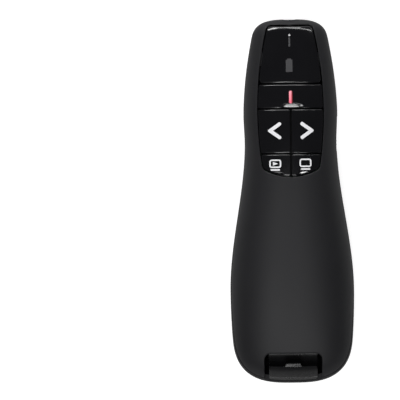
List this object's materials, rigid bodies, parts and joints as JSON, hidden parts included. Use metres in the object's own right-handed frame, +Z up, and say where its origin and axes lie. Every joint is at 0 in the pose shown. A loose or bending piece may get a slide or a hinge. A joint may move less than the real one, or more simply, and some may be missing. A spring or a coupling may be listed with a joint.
{
  "type": "wireless presentation clicker",
  "caption": "Waisted handheld presentation remote: display panel, laser key, arrow and lower keys, nose laser, side power switch, battery door and a USB receiver stored in the tail.",
  "frame": {"origin": "centre of the body's box, on the surface that it lies on", "axes": "+Y along the body to the laser end, +X to the right seen from above, +Z up out of the keys"},
  "size_m": [0.0392, 0.115, 0.0266],
  "materials": {
    "soft_touch_shell": "black ABS with a soft-touch coat",
    "lower_shell": "black ABS with a fine moulded texture",
    "gloss_black": "polished black acrylic and ABS",
    "frame_plastic": "black ABS, as moulded",
    "switch_housing": "pale nylon",
    "dark_plastic": "moulded",
    "board": "glass-epoxy laminate under green solder mask",
    "ceramic_parts": "fired ceramic chips",
    "bright_metal": "nickel-plated sheet",
    "spring_wire": "nickel-plated spring wire",
    "light_diode": "cast epoxy",
    "clear_guide": "clear acrylic",
    "brass_barrel": "turned",
    "lens": "moulded acrylic lens",
    "red_window": "clear red acrylic",
    "cell_jacket": "printed film jacket",
    "knob_plastic": "fine moulded texture",
    "receiver_plastic": "black ABS with a fine moulded texture",
    "plug_steel": "folded nickel-plated sheet",
    "tongue_plastic": "white nylon",
    "plug_gold": "gold plated",
    "screw_steel": "zinc plated"
  },
  "bodies": {
    "root": {"top_shell": "soft_touch_shell", "bottom_shell": "lower_shell", "display_panel": "gloss_black", "key_frame": "frame_plastic", "chassis": "frame_plastic", "laser_switch": "switch_housing", "previous_switch": "switch_housing", "next_switch": "switch_housing", "slideshow_switch": "switch_housing", "blank_switch": "switch_housing", "main_board": "board", "radio_chip": "dark_plastic", "crystal": "bright_metal", "chip_parts": "ceramic_parts", "battery_light": "light_diode", "signal_light": "light_diode", "light_guide": "clear_guide", "laser_barrel": "brass_barrel", "laser_lens": "lens", "laser_diode": "brass_barrel", "laser_board": "board", "laser_leads": "bright_metal", "laser_bezel": "frame_plastic", "laser_window": "red_window", "cell_left": "cell_jacket", "cell_right": "cell_jacket", "cell_spring_left": "spring_wire", "cell_spring_right": "spring_wire", "cell_plate_left": "bright_metal", "cell_plate_right": "bright_metal", "cell_bridge": "bright_metal", "power_switch": "bright_metal", "case_screws": "screw_steel", "board_screws": "screw_steel"},
    "laser_button": {"laser_key": "gloss_black", "laser_plunger": "dark_plastic"},
    "previous_button": {"previous_key": "gloss_black", "previous_plunger": "dark_plastic"},
    "next_button": {"next_key": "gloss_black", "next_plunger": "dark_plastic"},
    "slideshow_button": {"slideshow_key": "gloss_black", "slideshow_plunger": "dark_plastic"},
    "blank_button": {"blank_key": "gloss_black", "blank_plunger": "dark_plastic"},
    "power_slider": {"power_knob": "knob_plastic", "power_lever": "dark_plastic"},
    "receiver": {"receiver_cap": "receiver_plastic", "receiver_base": "receiver_plastic", "receiver_board": "board", "receiver_chip": "dark_plastic", "plug_shell": "plug_steel", "plug_tongue": "tongue_plastic", "plug_contacts": "plug_gold"},
    "door": {"battery_door": "lower_shell"}
  },
  "joints": [
    {"name": "laser_press", "type": "slide", "parent": "root", "child": "laser_button", "axis": [0, 0, -1], "range_m": [0, 0.0005], "stiffness_N_per_m": 400, "springref_m": -0.0003},
    {"name": "previous_press", "type": "slide", "parent": "root", "child": "previous_button", "axis": [0, 0, -1], "range_m": [0, 0.0005], "stiffness_N_per_m": 400, "springref_m": -0.0003},
    {"name": "next_press", "type": "slide", "parent": "root", "child": "next_button", "axis": [0, 0, -1], "range_m": [0, 0.0005], "stiffness_N_per_m": 400, "springref_m": -0.0003},
    {"name": "slideshow_press", "type": "slide", "parent": "root", "child": "slideshow_button", "axis": [0, 0, -1], "range_m": [0, 0.0005], "stiffness_N_per_m": 400, "springref_m": -0.0003},
    {"name": "blank_press", "type": "slide", "parent": "root", "child": "blank_button", "axis": [0, 0, -1], "range_m": [0, 0.0005], "stiffness_N_per_m": 400, "springref_m": -0.0003},
    {"name": "power_slide", "type": "slide", "parent": "root", "child": "power_slider", "axis": [0, 1, 0], "range_m": [0, 0.003]},
    {"name": "receiver_slide", "type": "slide", "parent": "root", "child": "receiver", "axis": [0, -1, 0], "range_m": [0, 0.042]},
    {"name": "door_swing", "type": "hinge", "parent": "root", "child": "door", "pos_m": [0, 0.0024, 0.00015], "axis": [1, 0, 0], "range_deg": [0, 70]}
  ]
}
